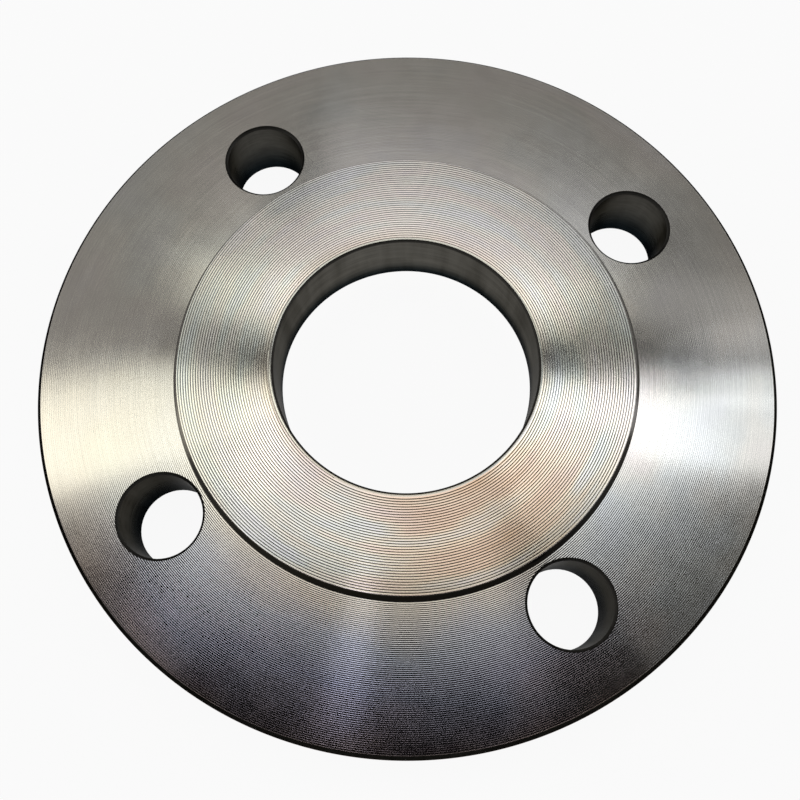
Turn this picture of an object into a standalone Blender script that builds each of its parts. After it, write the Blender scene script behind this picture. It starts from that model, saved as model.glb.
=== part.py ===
# Slip on flange: a flat steel ring with a raised, serrated gasket face, for a 57 mm pipe.
# The axis is Z, the back face lies on Z = 0 and the gasket face looks up.
# The ring is one turned section, and the bolt holes are drilled through it.

import math

import bmesh
import bpy
from mathutils import Matrix, Vector

NODE_NAME = "slip_on_flange"

# Driving dimensions in metres
BOLT_CIRCLE_DIAMETER = 0.125
BOLT_DIAMETER = 0.016
BOLT_CLEARANCE = 0.002
BOLT_COUNT = 4
PIPE_DIAMETER = 0.057
PIPE_CLEARANCE = 0.002
PLATE_THICKNESS = 0.018
FACE_HEIGHT = 0.002

# How far the rim lies outside the bolt circle, and the raised face inside the bolt holes
RIM_MARGIN = 0.020
FACE_MARGIN = 0.0025

# Serrations of the gasket face: the plain lip at the bore, then one ring for each turn
SERRATION_PITCH = 0.00056
SERRATION_DEPTH = 0.00005
BORE_LIP = 0.0008

# Edge breaks, and the bevel at the back of the bore that takes the weld
RIM_CHAMFER = 0.001
FACE_SIDE_SLOPE = 0.00095
BORE_CHAMFER = 0.0005
HOLE_CHAMFER = 0.0006
WELD_BEVEL = 0.004

# How finely round forms are divided
RING_SEGMENTS = 64
HOLE_SEGMENTS = 32
CUTTER_OVERRUN = 0.001
SHARP_ANGLE = math.radians(20)

# Sizes that follow from the driving dimensions
bolt_circle_radius = BOLT_CIRCLE_DIAMETER / 2
hole_radius = (BOLT_DIAMETER + BOLT_CLEARANCE) / 2
bore_radius = (PIPE_DIAMETER + PIPE_CLEARANCE) / 2
outer_radius = bolt_circle_radius + RIM_MARGIN
face_radius = bolt_circle_radius - hole_radius - FACE_MARGIN
gasket_face_z = PLATE_THICKNESS + FACE_HEIGHT


def clear_scene():
    for old in list(bpy.data.objects):
        bpy.data.objects.remove(old, do_unlink=True)


def serrations():
    # Valley and crest of each ring, from the lip at the bore out to the face's edge
    start = bore_radius + BORE_CHAMFER + BORE_LIP
    rings = int((face_radius - start) / SERRATION_PITCH)
    pitch = (face_radius - start) / rings
    corners = []
    for ring in range(rings):
        corners.append((start + (ring + 0.5) * pitch, gasket_face_z - SERRATION_DEPTH))
        corners.append((start + (ring + 1) * pitch, gasket_face_z))
    return corners


def turned_section():
    # Radius and height of each corner: over the gasket face, down the rim and up the bore
    return [
        (bore_radius + BORE_CHAMFER, gasket_face_z),
        (bore_radius + BORE_CHAMFER + BORE_LIP, gasket_face_z),
        *serrations(),
        (face_radius + FACE_SIDE_SLOPE, PLATE_THICKNESS),
        (outer_radius - RIM_CHAMFER, PLATE_THICKNESS),
        (outer_radius, PLATE_THICKNESS - RIM_CHAMFER),
        (outer_radius, RIM_CHAMFER),
        (outer_radius - RIM_CHAMFER, 0.0),
        (bore_radius + WELD_BEVEL, 0.0),
        (bore_radius, WELD_BEVEL),
        (bore_radius, gasket_face_z - BORE_CHAMFER),
    ]


def drill_section():
    # A drill with a chamfer at each end, run past both faces of the plate
    flare = hole_radius + HOLE_CHAMFER + CUTTER_OVERRUN
    return [
        (0.0, PLATE_THICKNESS + CUTTER_OVERRUN),
        (flare, PLATE_THICKNESS + CUTTER_OVERRUN),
        (hole_radius, PLATE_THICKNESS - HOLE_CHAMFER),
        (hole_radius, HOLE_CHAMFER),
        (flare, -CUTTER_OVERRUN),
        (0.0, -CUTTER_OVERRUN),
    ]


def turned_mesh(name, section, segments, closed):
    # Spins a section round the Z axis; an open section starts and ends on the axis
    shape = bmesh.new()
    corners = [shape.verts.new((radius, 0.0, height)) for radius, height in section]
    edges = [shape.edges.new(pair) for pair in zip(corners, corners[1:])]
    if closed:
        edges.append(shape.edges.new((corners[-1], corners[0])))
    bmesh.ops.spin(
        shape,
        geom=corners + edges,
        cent=Vector((0.0, 0.0, 0.0)),
        axis=Vector((0.0, 0.0, 1.0)),
        angle=2 * math.pi,
        steps=segments,
        use_merge=True,
    )
    bmesh.ops.remove_doubles(shape, verts=shape.verts, dist=1e-6)
    bmesh.ops.recalc_face_normals(shape, faces=shape.faces)
    mesh = bpy.data.meshes.new(name)
    shape.to_mesh(mesh)
    shape.free()
    return mesh


def bolt_hole_cutters():
    # The holes straddle the X and Y axes, as bolt holes on pipe flanges do
    mesh = turned_mesh("bolt_hole_cutter", drill_section(), HOLE_SEGMENTS, closed=False)
    cutters = []
    for index in range(BOLT_COUNT):
        angle = 2 * math.pi * (index + 0.5) / BOLT_COUNT
        cutter = bpy.data.objects.new(f"bolt_hole_cutter_{index + 1}", mesh)
        cutter.matrix_world = Matrix.Rotation(angle, 4, "Z") @ Matrix.Translation(
            (bolt_circle_radius, 0.0, 0.0)
        )
        cutter.hide_render = True
        cutter.display_type = "WIRE"
        bpy.context.collection.objects.link(cutter)
        cutters.append(cutter)
    return cutters


def turned_steel():
    material = bpy.data.materials.new("turned_steel")
    material.use_nodes = True
    shader = material.node_tree.nodes["Principled BSDF"]
    shader.inputs["Base Color"].default_value = (0.46, 0.45, 0.43, 1.0)
    shader.inputs["Metallic"].default_value = 1.0
    shader.inputs["Roughness"].default_value = 0.32
    return material


def build_flange():
    ring = turned_mesh(NODE_NAME, turned_section(), RING_SEGMENTS, closed=True)
    flange = bpy.data.objects.new(NODE_NAME, ring)
    bpy.context.collection.objects.link(flange)
    for cutter in bolt_hole_cutters():
        drill = flange.modifiers.new(cutter.name, "BOOLEAN")
        drill.operation = "DIFFERENCE"
        drill.solver = "EXACT"
        drill.object = cutter
    depsgraph = bpy.context.evaluated_depsgraph_get()
    drilled = bpy.data.meshes.new_from_object(flange.evaluated_get(depsgraph))
    flange.modifiers.clear()
    flange.data = drilled
    drilled.name = NODE_NAME
    drilled.materials.clear()
    drilled.materials.append(turned_steel())
    drilled.shade_smooth()
    drilled.set_sharp_from_angle(angle=SHARP_ANGLE)
    return flange


clear_scene()
build_flange()
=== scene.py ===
import math

import bpy
from mathutils import Euler, Matrix, Vector


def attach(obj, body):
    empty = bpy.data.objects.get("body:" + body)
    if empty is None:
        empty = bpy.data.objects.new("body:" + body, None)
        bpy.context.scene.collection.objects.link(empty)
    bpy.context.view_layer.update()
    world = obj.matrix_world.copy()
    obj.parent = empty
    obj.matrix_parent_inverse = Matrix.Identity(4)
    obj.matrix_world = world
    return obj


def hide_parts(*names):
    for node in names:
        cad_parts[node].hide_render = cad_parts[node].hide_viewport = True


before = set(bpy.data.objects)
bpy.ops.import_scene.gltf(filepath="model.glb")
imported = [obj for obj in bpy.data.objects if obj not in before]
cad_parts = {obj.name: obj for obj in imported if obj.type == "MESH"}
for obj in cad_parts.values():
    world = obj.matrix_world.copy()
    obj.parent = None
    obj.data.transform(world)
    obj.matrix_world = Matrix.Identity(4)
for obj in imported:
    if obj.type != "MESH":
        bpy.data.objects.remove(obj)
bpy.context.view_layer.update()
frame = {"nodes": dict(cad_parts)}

print("frame loaded:", ", ".join(frame["nodes"]))


# Nodes from plain expressions, for the geometry tree and for the materials

class Port:  # an output of a node that takes part in arithmetic
    def __init__(self, net, socket):
        self.net = net
        self.socket = socket

    def __getitem__(self, name):  # another output of the same node
        return Port(self.net, self.socket.node.outputs[name])

    def math(self, operation, *others):
        return self.net.math(operation, self, *others)

    def __add__(self, other):
        return self.net.math("ADD", self, other)

    def __sub__(self, other):
        return self.net.math("SUBTRACT", self, other)

    def __rsub__(self, other):
        return self.net.math("SUBTRACT", other, self)

    def __mul__(self, other):
        return self.net.math("MULTIPLY", self, other)

    def __truediv__(self, other):
        return self.net.math("DIVIDE", self, other)

    def __gt__(self, other):
        return self.net.math("GREATER_THAN", self, other)

    def __lt__(self, other):
        return self.net.math("LESS_THAN", self, other)

    __radd__ = __add__
    __rmul__ = __mul__


class Net:  # a node tree that is being filled
    def __init__(self, tree):
        self.tree = tree

    def add(self, kind, settings=None, values=None):
        node = self.tree.nodes.new(kind)
        for name, setting in (settings or {}).items():
            if name == "stops":
                self.setStops(node.color_ramp, setting)
            elif name == "items":
                for _ in range(setting - len(node.index_switch_items)):
                    node.index_switch_items.new()
            else:
                setattr(node, name, setting)
        shown = [socket for socket in node.inputs if socket.enabled]
        named = values.items() if isinstance(values, dict) else enumerate(values or ())
        for name, value in named:
            if isinstance(name, int):
                socket = shown[name]
            else:
                socket = next(s for s in shown if s.name == name)
            if isinstance(value, Port):
                self.tree.links.new(value.socket, socket)
            else:
                socket.default_value = value
        outputs = [socket for socket in node.outputs if socket.enabled]
        return Port(self, outputs[0]) if outputs else node

    def setStops(self, ramp, stops):
        while len(ramp.elements) < len(stops):
            ramp.elements.new(0.5)
        for element, (place, colour) in zip(ramp.elements, stops):
            element.position = place
            element.color = (*colour, 1.0)

    def math(self, operation, *terms):
        return self.add("ShaderNodeMath", {"operation": operation}, terms)

    def vector(self, x, y, z):
        return self.add("ShaderNodeCombineXYZ", None, (x, y, z))


# The flange: a turned section carried round the axis, a spiral cut on the gasket face, and four
# drilled holes. Lengths are in metres.
flange = {
    "boreRadius": 0.0295,
    "faceRadius": 0.051,        # raised gasket face
    "outerRadius": 0.0825,
    "plateThickness": 0.018,
    "faceHeight": 0.002,
    "sideSlope": 0.00095,       # how far the raised face's side leans out
    "rimChamfer": 0.001,
    "boreChamfer": 0.0005,
    "weldBevel": 0.004,         # at the back of the bore
    "edgeRound": 0.00012,       # what deburring leaves on each turned edge
    "boltCircle": 0.0625,       # radius
    "holeRadius": 0.009,
    "holeChamfer": 0.0006,
    "groovePitch": 0.000558,
    "grooveDepth": 0.0000295,
    "innerLip": 0.00092,        # plain rings that the spiral leaves at the bore and at the edge
    "outerLip": 0.00014,
}
ringSegments = 384
holeSegments = 64
edgeSteps = 3           # flats in each rounded edge
groove = [(0.0, 0.0), (0.4, 0.0), (0.7, 1.0)]  # a flat land and a vee: place across the pitch, depth
runOut = 0.2            # part of a pitch over which the groove starts and ends
boltCount = 4
drillOverrun = 0.001    # how far the drill reaches past both faces
sharpAngle = 19.0       # degrees, from which an edge is sharp
sharpGroove = 9.0       # the same on the gasket face
weldDistance = 1e-6     # points closer than this become one
roundingGuard = 0.0001  # keeps a whole number from being rounded down to the one before


def distanceOut(place):
    # Distance from the axis
    return (place["X"] * place["X"] + place["Y"] * place["Y"]).math("SQRT")


def wholeRows(index, length):
    return (index / float(length) + roundingGuard).math("FLOOR")


def revolved(net, curve, segments):
    # A grid with one row for each point of the section, rolled up round the Z axis
    points = net.add("GeometryNodeAttributeDomainSize", {"component": "CURVE"}, (curve,))
    sheet = net.add("GeometryNodeMeshGrid", None, {"Vertices X": points, "Vertices Y": segments + 1})
    index = net.add("GeometryNodeInputIndex")
    row = wholeRows(index, segments + 1)
    angle = (index - row * (segments + 1.0)) * (2 * math.pi / segments)
    corner = net.add("GeometryNodeSampleIndex", {"data_type": "FLOAT_VECTOR", "clamp": True},
                     {"Geometry": curve, "Value": net.add("GeometryNodeInputPosition"), "Index": row})
    corner = net.add("ShaderNodeSeparateXYZ", None, (corner,))
    rolled = net.vector(corner["X"] * angle.math("COSINE"), corner["X"] * angle.math("SINE"), corner["Y"])
    sheet = net.add("GeometryNodeSetPosition", None, {"Geometry": sheet, "Position": rolled})
    return net.add("GeometryNodeMergeByDistance", None, {"Geometry": sheet, "Distance": weldDistance})


def sectionCurve(net, corners, rounding, steps):
    # The corners of a section joined in order, and rounded where there are steps
    line = net.add("GeometryNodeMeshLine", {"mode": "OFFSET"}, {"Count": len(corners)})
    curve = net.add("GeometryNodeMeshToCurve", None, (line,))
    places = [net.add("GeometryNodeInputIndex")] + [net.vector(r, z, 0.0) for r, z in corners]
    place = net.add("GeometryNodeIndexSwitch", {"data_type": "VECTOR", "items": len(corners)}, places)
    curve = net.add("GeometryNodeSetPosition", None, {"Geometry": curve, "Position": place})
    if not steps:
        return curve
    return net.add("GeometryNodeFilletCurve", {"mode": "POLY"},
                   {"Curve": curve, "Count": steps, "Radius": rounding, "Limit Radius": True})


def spiralFace(net, size, inner, outer, top):
    # Rows run along the spiral, so each meets the row one turn further in where the ring closes
    turns = math.ceil((flange["faceRadius"] - flange["boreRadius"]) / flange["groovePitch"])
    rows = (turns + 1) * len(groove) + 1
    sheet = net.add("GeometryNodeMeshGrid", None, {"Vertices X": rows, "Vertices Y": ringSegments + 1})
    index = net.add("GeometryNodeInputIndex")
    row = wholeRows(index, ringSegments + 1)
    turn = (index - row * (ringSegments + 1.0)) / float(ringSegments)
    pitch = size["groovePitch"]
    count = wholeRows(row, len(groove))
    step = row - count * float(len(groove))
    across = net.add("GeometryNodeIndexSwitch", {"data_type": "FLOAT", "items": len(groove)},
                     [step] + [place for place, depth in groove])
    depth = net.add("GeometryNodeIndexSwitch", {"data_type": "FLOAT", "items": len(groove)},
                    [step] + [depth for place, depth in groove])
    radius = inner + (count + across - turn) * pitch
    radius = radius.math("MAXIMUM", inner).math("MINIMUM", outer)
    edge = (radius - inner).math("MINIMUM", outer - radius) / (pitch * runOut)
    depth = depth * size["grooveDepth"] * edge.math("MINIMUM", 1.0)
    angle = turn * (2 * math.pi)
    rolled = net.vector(radius * angle.math("COSINE"), radius * angle.math("SINE"), top - depth)
    return net.add("GeometryNodeSetPosition", None, {"Geometry": sheet, "Position": rolled})


def flangeTree(materials):
    tree = bpy.data.node_groups.new("turnedFlange", "GeometryNodeTree")
    tree.is_modifier = True
    for name in flange:
        tree.interface.new_socket(name, in_out="INPUT", socket_type="NodeSocketFloat")
    tree.interface.new_socket("Geometry", in_out="OUTPUT", socket_type="NodeSocketGeometry")
    net = Net(tree)
    given = tree.nodes.new("NodeGroupInput")
    size = {name: Port(net, given.outputs[name]) for name in flange}

    bore, face, rim = size["boreRadius"], size["faceRadius"], size["outerRadius"]
    plate = size["plateThickness"]
    top = plate + size["faceHeight"]
    inner = bore + size["innerLip"]
    outer = face - size["outerLip"]
    chamfer = size["rimChamfer"]
    body = revolved(net, sectionCurve(net, [
        (outer, top),
        (face, top),
        (face + size["sideSlope"], plate),
        (rim - chamfer, plate),
        (rim, plate - chamfer),
        (rim, chamfer),
        (rim - chamfer, 0.0),
        (bore + size["weldBevel"], 0.0),
        (bore, size["weldBevel"]),
        (bore, top - size["boreChamfer"]),
        (bore + size["boreChamfer"], top),
        (inner, top),
    ], size["edgeRound"], edgeSteps), ringSegments)
    body = net.add("GeometryNodeSetMaterial", None, {"Geometry": body, "Material": materials["turned"]})
    spiral = net.add("GeometryNodeSetMaterial", None, {
        "Geometry": spiralFace(net, size, inner, outer, top), "Material": materials["serrated"]})
    ring = net.add("GeometryNodeJoinGeometry", None, (body,))
    net.tree.links.new(spiral.socket, ring.socket.node.inputs[0])
    ring = net.add("GeometryNodeMergeByDistance", None, {"Geometry": ring, "Distance": weldDistance})

    # One drill, set on the four bolt positions between the axes
    flare = size["holeRadius"] + size["holeChamfer"] + drillOverrun
    drill = revolved(net, sectionCurve(net, [
        (0.0, plate + drillOverrun),
        (flare, plate + drillOverrun),
        (size["holeRadius"], plate - size["holeChamfer"]),
        (size["holeRadius"], size["holeChamfer"]),
        (flare, -drillOverrun),
        (0.0, -drillOverrun),
    ], 0.0, 0), holeSegments)
    drill = net.add("GeometryNodeSetMaterial", None, {"Geometry": drill, "Material": materials["drilled"]})
    centres = net.add("GeometryNodeMeshCircle", {"fill_type": "NONE"},
                      {"Vertices": boltCount, "Radius": size["boltCircle"]})
    centres = net.add("GeometryNodeTransform", None,
                      {"Geometry": centres, "Rotation": (0.0, 0.0, math.pi / boltCount)})
    drills = net.add("GeometryNodeInstanceOnPoints", None, {"Points": centres, "Instance": drill})
    drills = net.add("GeometryNodeRealizeInstances", None, (drills,))
    drilled = net.add("GeometryNodeMeshBoolean", {"operation": "DIFFERENCE", "solver": "EXACT"},
                      {"Mesh 1": ring, "Mesh 2": drills})

    # Smooth over the turned curves, sharp at the corners of the groove
    smooth = net.add("GeometryNodeSetShadeSmooth", {"domain": "FACE"}, {"Geometry": drilled})
    place = net.add("ShaderNodeSeparateXYZ", None, (net.add("GeometryNodeInputPosition"),))
    reach = distanceOut(place)
    onFace = (reach > inner) * (reach < outer) * (place["Z"] > top - 0.0001)
    limit = math.radians(sharpAngle) - onFace * math.radians(sharpAngle - sharpGroove)
    sharp = net.add("GeometryNodeInputMeshEdgeAngle") > limit
    smooth = net.add("GeometryNodeSetShadeSmooth", {"domain": "EDGE"},
                     {"Geometry": smooth, "Selection": sharp, "Shade Smooth": False})
    whole = net.add("GeometryNodeRealizeInstances", None, (smooth,))

    # The bore and the chamfers of the rim, less a hair at each edge, have the walls' finish; on the rim's
    # chamfers its dark colour is painted shade
    middle = (place["Z"] - plate * 0.5).math("ABSOLUTE")
    boreHair, rimHair = 0.00005, 0.00003
    inBore = (reach < bore + size["boreChamfer"] - boreHair) * (place["Z"] < top - boreHair)
    atRim = (reach > rim - chamfer + rimHair) * (middle > plate * 0.5 - chamfer + rimHair)
    whole = net.add("GeometryNodeSetMaterial", None,
                    {"Geometry": whole, "Selection": inBore + atRim, "Material": materials["bored"]})
    net.add("NodeGroupOutput", None, {"Geometry": whole})
    return tree


def buildFlange(materials):
    start = bpy.data.meshes.new("flangeStart")
    worker = bpy.data.objects.new("flangeWorker", start)
    bpy.context.scene.collection.objects.link(worker)
    modifier = worker.modifiers.new("turnedFlange", "NODES")
    tree = flangeTree(materials)
    modifier.node_group = tree
    for item in tree.interface.items_tree:
        if item.in_out == "INPUT":
            modifier[item.identifier] = flange[item.name]
    weighted = worker.modifiers.new("flatsStayFlat", "WEIGHTED_NORMAL")
    weighted.keep_sharp = True
    shaped = worker.evaluated_get(bpy.context.evaluated_depsgraph_get())
    mesh = bpy.data.meshes.new_from_object(shaped)
    bpy.data.objects.remove(worker, do_unlink=True)
    mesh.name = "flangeFinish"
    for slot in reversed(range(len(mesh.materials))):
        if mesh.materials[slot] is None:
            mesh.materials.pop(index=slot)
    piece = bpy.data.objects.new("flangeFinish", mesh)
    bpy.context.scene.collection.objects.link(piece)
    mesh.calc_loop_triangles()
    print("flange:", len(mesh.loop_triangles), "triangles,", len(mesh.materials), "finishes")
    return piece


# Steel as the tools left it
steel = {
    "colour": (0.74, 0.70, 0.64),
    "plateShade": 0.87,         # how light the plate and the gasket face are
    "faceShade": 1.22,
    "plateTint": 0.22,          # how much of the tints below the plate and the gasket face take
    "faceTint": 0.40,
    "tintFrom": 0.2,            # where they begin to grow: -1 opposite the brown sector, 1 at it
    "tintElsewhere": 0.4,       # part of them that is left everywhere else
    "tints": [(0.30, (0.60, 0.68, 0.78)), (0.40, (0.64, 0.73, 0.64)), (0.49, (0.88, 0.78, 0.54)),
              (0.57, (0.90, 0.66, 0.50)), (0.66, (0.78, 0.62, 0.62))],
    "heatTint": 0.75,           # how much of the colours below the front of the plate takes
    "heat": [(0.0, (0.82, 0.74, 0.56)), (0.30, (0.64, 0.68, 0.72)), (0.60, (0.60, 0.62, 0.76)),
             (0.80, (0.66, 0.56, 0.62)), (1.0, (0.62, 0.42, 0.34))],
    "heatFrom": -0.45,          # where they begin and are full: -1 is the very front
    "heatFull": -0.95,
    "heatWander": 0.8,          # how far the bands of colour wander in and out
    "sectors": 1.8,             # higher is more tinted sectors round the ring
    "plateBands": 40.0,         # higher is narrower bands of tint
    "faceBands": 200.0,
    "brownSector": 308.0,       # degrees, where the face is brown
    "brownFrom": 0.70,          # where the brown begins: 1 is the middle of the sector
    "brown": (0.66, 0.46, 0.30),
    "faceBrown": 0.60,          # how brown the gasket face is there
    "boreBrown": 0.6,           # part of it that follows the bore all round
    "boreBrownWidth": 0.004,
    "ringShade": 0.25,          # how much one turning mark differs from the next
    "rings": 2600.0,            # higher is finer rings
    "stain": 0.10,              # faint blotches
    "blotches": 210.0,
    "sideShade": 0.35,          # how much darker the side of the ring is, and its reach inwards
    "sideReach": 0.0003,
    "footSoot": 0.98,           # painted shade at the foot of the raised face: how dark it is
    "footWidth": 0.65,          # its reach to either side, as a part of the slope
    "footEdge": 4.0,            # higher is a harder edge
    "roughness": 0.13,
    "roughnessSpread": 0.05,
    "anisotropy": 0.75,
    "feedPitch": 0.00040,       # of the plate's turning marks, which begin just outside the foot
    "feedStart": 0.0001,
    "feedDepth": 0.0000085,
    "feedDepthBehind": 0.0000020,  # where the marks are rubbed almost smooth
    "feedDeepY": -0.045,        # where the marks are deepest and where they are rubbed
    "feedRubbedY": 0.010,
    "noseLines": 9000.0,        # fine lines on the gasket face, and their depth
    "noseDepth": 0.0000012,
    "grooveSoot": 0.95,         # painted shade with some dirt on the groove's outward side: how dark it is
    "sootPlace": 0.58,          # its place across the pitch, and its reach to either side
    "sootWidth": 0.26,
    "edgeShine": 0.10,          # how much lighter the worn edges are, and how wide they are
    "faceEdge": 0.00015,
    "rimEdge": 0.0002,
}
ringsDown = 0.7         # how fast the ring patterns run on down a wall
outwards = 0.25         # turns; spreads the reflections away from the axis


def newMaterial(name):
    material = bpy.data.materials.new(name)
    material.use_nodes = True
    material.node_tree.nodes.clear()
    return material, Net(material.node_tree)


def placeOn(net):
    return net.add("ShaderNodeSeparateXYZ", None, (net.add("ShaderNodeTexCoord")["Object"],))


def turnsRound(place):
    return place["Y"].math("ARCTAN2", place["X"]) / (2 * math.pi)


def noise(net, spot, scale, detail):
    return net.add("ShaderNodeTexNoise", None, {"Vector": spot, "Scale": scale, "Detail": detail})


def ringNoise(net, place, radius, around, outward, detail):
    # Noise that is stretched round the axis, without a seam
    across, along = place["X"] / radius, place["Y"] / radius
    spot = net.vector(across * around, along * around, (radius + place["Z"] * ringsDown) * outward)
    return noise(net, spot, 1.0, detail)


def near(distance, width):
    # 1 where the distance is 0, down to 0 where it is the width or more
    return (1.0 - distance.math("ABSOLUTE") / width).math("MAXIMUM", 0.0)


def fade(net, value, start, end, atStart, atEnd):
    # Goes smoothly from one level to another while value goes from start to end
    return net.add("ShaderNodeMapRange", {"interpolation_type": "SMOOTHSTEP"}, {
        "Value": value, "From Min": start, "From Max": end, "To Min": atStart, "To Max": atEnd})


def mix(net, amount, below, above):
    return net.add("ShaderNodeMix", {"data_type": "RGBA"}, {"Factor": amount, "A": below, "B": above})


def shaded(net, colour, shade):
    return net.add("ShaderNodeVectorMath", {"operation": "SCALE"}, (colour, shade))


def scallops(phase, depth):
    # The round hollows that a tool leaves, one for each turn
    return phase * (phase - 1.0) * 4.0 * depth


def bump(net, height, distance):
    return net.add("ShaderNodeBump", None, {"Strength": 1.0, "Distance": distance, "Height": height})


def steelTone(net, place, radius, shade, tint, bands, brown, heated):
    # Colour and roughness of the turned faces: tints, brown, heat colours, rings, blotches, edges
    sectors = ringNoise(net, place, radius, steel["sectors"], bands, 3.0)
    tints = net.add("ShaderNodeValToRGB", {"stops": steel["tints"]}, (sectors,))
    toward = math.radians(steel["brownSector"])
    facing = (place["X"] * math.cos(toward) + place["Y"] * math.sin(toward)) / radius
    tinted = fade(net, facing, steel["tintFrom"], 1.0, tint * steel["tintElsewhere"], tint)
    colour = mix(net, tinted, (*steel["colour"], 1.0), tints)
    outward = (radius - flange["faceRadius"]) / (flange["outerRadius"] - flange["faceRadius"])
    wander = (sectors - 0.5) * steel["heatWander"]
    heat = net.add("ShaderNodeValToRGB", {"stops": steel["heat"]}, (outward + wander,))
    front = fade(net, place["Y"] / radius, steel["heatFrom"], steel["heatFull"], 0.0, heated)
    colour = mix(net, front, colour, heat)
    sector = fade(net, facing, steel["brownFrom"], 1.0, 0.0, brown * 2.0)
    atBore = near(radius - flange["boreRadius"], steel["boreBrownWidth"]) * brown * steel["boreBrown"]
    colour = mix(net, sector * sectors + atBore, colour, (*steel["brown"], 1.0))
    rings = ringNoise(net, place, radius, 2.0, steel["rings"], 2.0)
    blotches = noise(net, net.vector(place["X"], place["Y"], place["Z"]), steel["blotches"], 5.0)
    rim = flange["outerRadius"] - flange["rimChamfer"]
    faceEdge = near(radius - flange["faceRadius"], steel["faceEdge"])
    edges = faceEdge.math("MAXIMUM", near(radius - rim, steel["rimEdge"]))
    shade = shade * (1.0 + (rings - 0.5) * steel["ringShade"]) * (1.0 + (blotches - 0.5) * steel["stain"])
    shade = shade + edges * blotches * 2.0 * steel["edgeShine"]
    rough = (sectors + blotches - 1.0) * steel["roughnessSpread"] + steel["roughness"]
    return shaded(net, colour, shade), rough


def finish(net, values):
    shader = net.add("ShaderNodeBsdfPrincipled", None, values)
    net.add("ShaderNodeOutputMaterial", None, {"Surface": shader})


def turnedSteel():
    # Close turning marks, deep at the front of the plate and rubbed almost smooth behind
    material, net = newMaterial("turnedSteel")
    place = placeOn(net)
    radius = distanceOut(place)
    marks = (radius + place["Z"] * ringsDown) / steel["feedPitch"] + turnsRound(place)
    depth = fade(net, place["Y"], steel["feedDeepY"], steel["feedRubbedY"],
                 steel["feedDepth"], steel["feedDepthBehind"])
    plate = radius > flange["faceRadius"] + flange["sideSlope"] + steel["feedStart"]
    normal = bump(net, scallops(marks.math("FRACT"), depth) * plate, 1.0)
    slope = flange["sideSlope"]
    # Painted shade darkens the foot of the raised face
    foot = near(radius - flange["faceRadius"] - slope * 0.5, slope * steel["footWidth"])
    foot = (foot * steel["footEdge"]).math("MINIMUM", 1.0)
    side = radius > flange["outerRadius"] - steel["sideReach"]
    shade = (1.0 - foot * steel["footSoot"] - side * steel["sideShade"]) * steel["plateShade"]
    colour, rough = steelTone(net, place, radius, shade, steel["plateTint"], steel["plateBands"],
                              0.0, steel["heatTint"])
    finish(net, {"Base Color": colour, "Metallic": 1.0, "Roughness": rough,
                 "Anisotropic": steel["anisotropy"], "Anisotropic Rotation": outwards, "Normal": normal})
    return material


def serratedSteel():
    # The groove itself is in the mesh; painted shade with some dirt darkens its outward side, and the nose
    # of the tool left fine lines
    material, net = newMaterial("serratedSteel")
    place = placeOn(net)
    radius = distanceOut(place)
    start = flange["boreRadius"] + flange["innerLip"]
    across = ((radius - start) / flange["groovePitch"] + turnsRound(place)).math("FRACT")
    # Painted shade, with some dirt, darkens the outward side of each groove
    dirtAndShade = near(across - steel["sootPlace"], steel["sootWidth"])
    shade = (1.0 - dirtAndShade * steel["grooveSoot"]) * steel["faceShade"]
    lines = ringNoise(net, place, radius, 2.0, steel["noseLines"], 0.0)
    normal = bump(net, lines, steel["noseDepth"])
    colour, rough = steelTone(net, place, radius, shade, steel["faceTint"], steel["faceBands"],
                              steel["faceBrown"], 0.0)
    finish(net, {"Base Color": colour, "Metallic": 1.0, "Roughness": rough,
                 "Anisotropic": steel["anisotropy"], "Anisotropic Rotation": outwards, "Normal": normal})
    return material


# Walls of the bore and of the bolt holes, darker than the faces, and the chamfers at their mouths
wall = {
    "colour": (0.118, 0.113, 0.101),
    "deep": (0.016, 0.021, 0.024),  # towards the back
    "boreDeep": (0.004, 0.011),     # heights between which the bore goes from deep to colour
    "holeDeep": (0.001, 0.015),
    "holeShade": 0.7,           # how light the bolt holes are beside the bore
    "burn": 0.75,               # painted shade on the chamfers: how much darker they are
    "burnWidth": 0.0009,
    "rings": 1500.0,            # higher is finer rings, and how much they differ
    "ringShade": 0.7,
    "boreUneven": 90.0,         # higher is rings that change more on their way round
    "holeUneven": 240.0,
    "streaks": (320.0, 40.0),   # round the wall and down it, and how much they differ
    "streakShade": 0.8,
    "roughness": 0.42,
    "roughnessSpread": 0.2,
    "edgeTint": 0.3,            # keeps the walls dark where they are seen along their length
    "boringPitch": 0.0003,
    "boringDepth": 0.000006,
}


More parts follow.
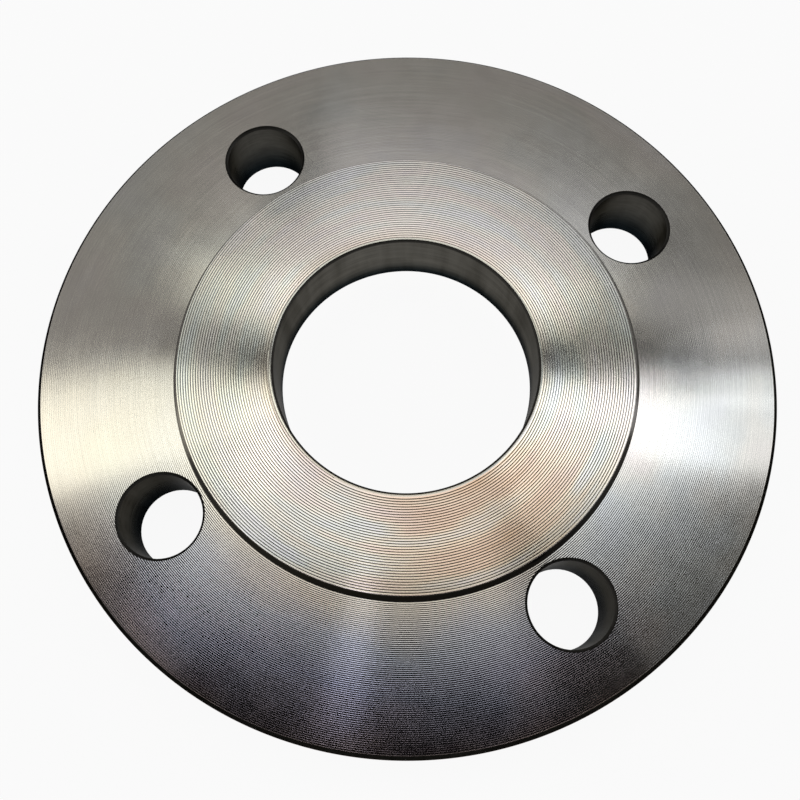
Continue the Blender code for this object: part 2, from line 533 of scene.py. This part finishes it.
def wallSteel(name, uneven, lightness, mouth, deep):
    # Rings down the wall, streaks from chips, and darker towards the back
    material, net = newMaterial(name)
    place = placeOn(net)
    spot = net.vector(place["X"] * uneven, place["Y"] * uneven, place["Z"] * wall["rings"])
    rings = noise(net, spot, 1.0, 2.0)
    sideways, down = wall["streaks"]
    spot = net.vector(place["X"] * sideways, place["Y"] * sideways, place["Z"] * down)
    streaks = noise(net, spot, 1.0, 3.0)
    depth = fade(net, place["Z"], *deep, 1.0, 0.0)
    colour = mix(net, depth, (*wall["colour"], 1.0), (*wall["deep"], 1.0))
    rim = distanceOut(place) > flange["outerRadius"] - flange["rimChamfer"]
    # Painted shade on the chamfers at the mouth and on the rim's chamfers
    chamferShading = near(place["Z"] - mouth, wall["burnWidth"]).math("MAXIMUM", rim)
    marks = 1.0 + (rings - 0.5) * wall["ringShade"] + (streaks - 0.5) * wall["streakShade"]
    shade = lightness * marks * (1.0 - chamferShading * wall["burn"])
    bored = (place["Z"] / wall["boringPitch"]).math("FRACT")
    tint = wall["edgeTint"]
    rough = (streaks - 0.5) * wall["roughnessSpread"] + wall["roughness"]
    finish(net, {"Base Color": shaded(net, colour, shade), "Metallic": 1.0, "Roughness": rough,
                 "Specular Tint": (tint, tint, tint, 1.0),
                 "Normal": bump(net, scallops(bored, wall["boringDepth"]), 1.0)})
    return material


def boredSteel():
    mouth = flange["plateThickness"] + flange["faceHeight"]
    return wallSteel("boredSteel", wall["boreUneven"], 1.0, mouth, wall["boreDeep"])


def drilledSteel():
    mouth = flange["plateThickness"]
    return wallSteel("drilledSteel", wall["holeUneven"], wall["holeShade"], mouth, wall["holeDeep"])


materials = {"turned": turnedSteel(), "serrated": serratedSteel(),
             "bored": boredSteel(), "drilled": drilledSteel()}
piece = buildFlange(materials)
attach(piece, "root")
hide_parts("slip_on_flange")
print("flange placed")


# The floor: white, and it glows where the camera and the steel see it
floor = {
    "half": 3.0,                # metres from the middle to each side
    "drop": 0.0002,             # below the flange
    "paint": (0.9, 0.9, 0.9),
    "glow": 0.93,               # how much of what is seen is glow, the rest is lit paint
}


def square(name, wide, high, level):
    # A flat card of the given half width and half height
    mesh = bpy.data.meshes.new(name)
    corners = [(-wide, -high, level), (wide, -high, level), (wide, high, level), (-wide, high, level)]
    mesh.from_pydata(corners, [], [(0, 1, 2, 3)])
    return mesh


def placed(name, mesh):
    thing = bpy.data.objects.new(name, mesh)
    bpy.context.scene.collection.objects.link(thing)
    return thing


def whiteFloor():
    mesh = square("floor", floor["half"], floor["half"], -floor["drop"])
    material, net = newMaterial("floorWhite")
    path = net.add("ShaderNodeLightPath")
    seen = path["Is Camera Ray"].math("MAXIMUM", path["Is Glossy Ray"])
    seen = seen.math("MAXIMUM", path["Is Transmission Ray"]) * floor["glow"]
    paint = net.add("ShaderNodeBsdfDiffuse", None, {"Color": (*floor["paint"], 1.0)})
    glow = net.add("ShaderNodeEmission", None, {"Color": (1.0, 1.0, 1.0, 1.0), "Strength": 1.0})
    mixed = net.add("ShaderNodeMixShader", None, (seen, paint, glow))
    net.add("ShaderNodeOutputMaterial", None, {"Surface": mixed})
    mesh.materials.append(material)
    placed("floor", mesh)


# Soft lamps over and behind the flange. Each has its middle, its width and height, how far it is
# rolled in degrees, and the red, green and blue of its face. All look at the flange.
lamps = {
    "leftStrip": ((-0.546, 0.012, 0.715), (0.465, 0.132), 33.3, (1.46, 1.46, 1.25)),
    "overhead": ((-0.077, 0.127, 0.888), (0.347, 0.201), 4.2, (1.18, 1.17, 1.26)),
    "rightStrip": ((0.563, 0.252, 0.658), (0.797, 0.089), -5.0, (1.07, 1.14, 1.25)),
    "rightSpot": ((0.337, 0.321, 0.788), (0.105, 0.042), 3.0, (1.36, 1.44, 1.55)),
    "rightFill": ((0.325, 0.366, 0.772), (0.120, 0.048), 3.0, (0.44, 0.45, 0.48)),
    "overheadRight": ((0.177, 0.226, 0.853), (0.222, 0.140), 29.3, (1.37, 1.45, 1.61)),
    "nearRight": ((0.144, 0.281, 0.839), (0.100, 0.046), -5.0, (1.80, 1.88, 1.90)),
    "backFill": ((0.032, 0.404, 0.804), (0.669, 0.072), 1.1, (0.40, 0.40, 0.41)),
    "backStrip": ((-0.091, 0.352, 0.823), (0.465, 0.069), 9.9, (1.13, 1.16, 1.04)),
    "frontSpot": ((-0.060, -0.005, 0.898), (0.048, 0.034), 82.3, (1.85, 1.92, 2.40)),
    "overheadLeft": ((-0.276, 0.152, 0.841), (0.180, 0.145), 7.8, (1.40, 1.48, 1.34)),
    "middleStrip": ((-0.028, 0.279, 0.855), (0.428, 0.066), -11.3, (0.63, 0.70, 0.71)),
    "backPanel": ((-0.031, 0.451, 0.778), (0.357, 0.143), -7.8, (0.51, 0.53, 0.57)),
}


# Black flags behind the lamps, seen only in reflections, that keep parts of the room dark. Each has
# its middle, its width and height, and how far it is rolled in degrees.
flags = {
    "rightFlag": ((0.129, -0.289, 0.896), (0.804, 0.675), -39.7),
    "frontFlag": ((-0.009, -0.479, 0.820), (0.474, 0.552), -7.4),
    "ceilingFlag": ((0.006, 0.151, 0.938), (0.823, 0.742), 73.6),
}


def facing(middle, roll):
    # Turned to look at the flange from its middle, then rolled
    back = Vector(middle).normalized()
    across = Vector((0.0, 1.0, 0.0)).cross(back).normalized()
    upward = back.cross(across)
    turn = math.radians(roll)
    across, upward = (across * math.cos(turn) + upward * math.sin(turn),
                      upward * math.cos(turn) - across * math.sin(turn))
    return Matrix.Translation(middle) @ Matrix((across, upward, back)).transposed().to_4x4()


def addLamp(name, middle, size, roll, brightness):
    light = bpy.data.lights.new(name, "AREA")
    light.shape = "RECTANGLE"
    light.size, light.size_y = size
    light.energy = max(brightness) * math.pi * size[0] * size[1]
    light.color = [part / max(brightness) for part in brightness]
    lamp = bpy.data.objects.new(name, light)
    lamp.matrix_world = facing(middle, roll)
    lamp.visible_camera = False
    bpy.context.scene.collection.objects.link(lamp)


def onlyReflected(card):
    card.visible_camera = False
    card.visible_diffuse = False
    card.visible_shadow = False


def addFlag(name, middle, size, roll, paint):
    mesh = square(name, size[0] / 2, size[1] / 2, 0.0)
    mesh.transform(facing(middle, roll))
    mesh.materials.append(paint)
    onlyReflected(placed(name, mesh))


def flagPaint():
    paint, net = newMaterial("flagPaint")
    black = net.add("ShaderNodeBsdfDiffuse", None, {"Color": (0.0, 0.0, 0.0, 1.0)})
    net.add("ShaderNodeOutputMaterial", None, {"Surface": black})
    return paint


# The room: pale walls low down that fade upwards to grey, a little lighter behind and to the left
room = {
    "wall": 0.8,
    "wallTop": 0.65,            # height of a direction where the pale wall has faded out
    "front": 0.169,
    "back": 0.254,
    "turn": (-0.26, -0.09),     # where front turns to back: -1 is the very front
    "left": 0.105,
}


def studioWorld():
    world = bpy.data.worlds.new("studio")
    bpy.context.scene.world = world
    world.use_nodes = True
    world.node_tree.nodes.clear()
    net = Net(world.node_tree)
    way = net.add("ShaderNodeSeparateXYZ", None, (net.add("ShaderNodeTexCoord")["Generated"],))
    behind = fade(net, way["Y"], *room["turn"], room["front"], room["back"])
    upper = (behind - way["X"] * room["left"]).math("MAXIMUM", 0.0)
    level = fade(net, way["Z"], 0.0, room["wallTop"], room["wall"], upper)
    sky = net.add("ShaderNodeBackground", None, {"Color": level, "Strength": 1.0})
    net.add("ShaderNodeOutputWorld", None, {"Surface": sky})


# A low ring round the flange, seen only in reflections, that darkens the edges that face it
edgeRing = {
    "radius": 0.16,
    "height": 0.037,
    "steps": 72,
    "tone": (0.005, 0.05),      # how light it is at the left and at the right
    "turn": (0.08, 0.15),       # X where it goes from one to the other
}


def edgeCard():
    radius, steps = edgeRing["radius"], edgeRing["steps"]
    corners = []
    for step in range(steps):
        angle = 2 * math.pi * step / steps
        for z in (0.0, edgeRing["height"]):
            corners.append((radius * math.cos(angle), radius * math.sin(angle), z))
    count = len(corners)
    sides = [(2 * k, (2 * k + 2) % count, (2 * k + 3) % count, 2 * k + 1) for k in range(steps)]
    mesh = bpy.data.meshes.new("edgeCard")
    mesh.from_pydata(corners, [], sides)
    material, net = newMaterial("cardPaint")
    turn, tones = edgeRing["turn"], edgeRing["tone"]
    tone = net.add("ShaderNodeMapRange", None, {
        "Value": placeOn(net)["X"], "From Min": turn[0], "From Max": turn[1],
        "To Min": tones[0], "To Max": tones[1]})
    glow = net.add("ShaderNodeEmission", None, {"Color": tone, "Strength": 1.0})
    net.add("ShaderNodeOutputMaterial", None, {"Surface": glow})
    mesh.materials.append(material)
    onlyReflected(placed("edgeCard", mesh))


camera = {
    "place": (0.01394, -0.06364, 0.20266),
    "turn": (17.0992, 0.5197, 12.0501),  # degrees
    "lens": 39.338,             # millimetres
}


def addCamera():
    lens = bpy.data.cameras.new("camera")
    lens.lens = camera["lens"]
    lens.sensor_width = 36.0
    lens.clip_start = 0.01
    eye = bpy.data.objects.new("camera", lens)
    eye.location = camera["place"]
    eye.rotation_euler = Euler([math.radians(a) for a in camera["turn"]])
    bpy.context.scene.collection.objects.link(eye)
    bpy.context.scene.camera = eye


whiteFloor()
edgeCard()
for name, values in lamps.items():
    addLamp(name, *values)
paint = flagPaint()
for name, values in flags.items():
    addFlag(name, *values, paint)
studioWorld()
addCamera()
bpy.context.scene.view_settings.view_transform = "Standard"
print("studio ready")
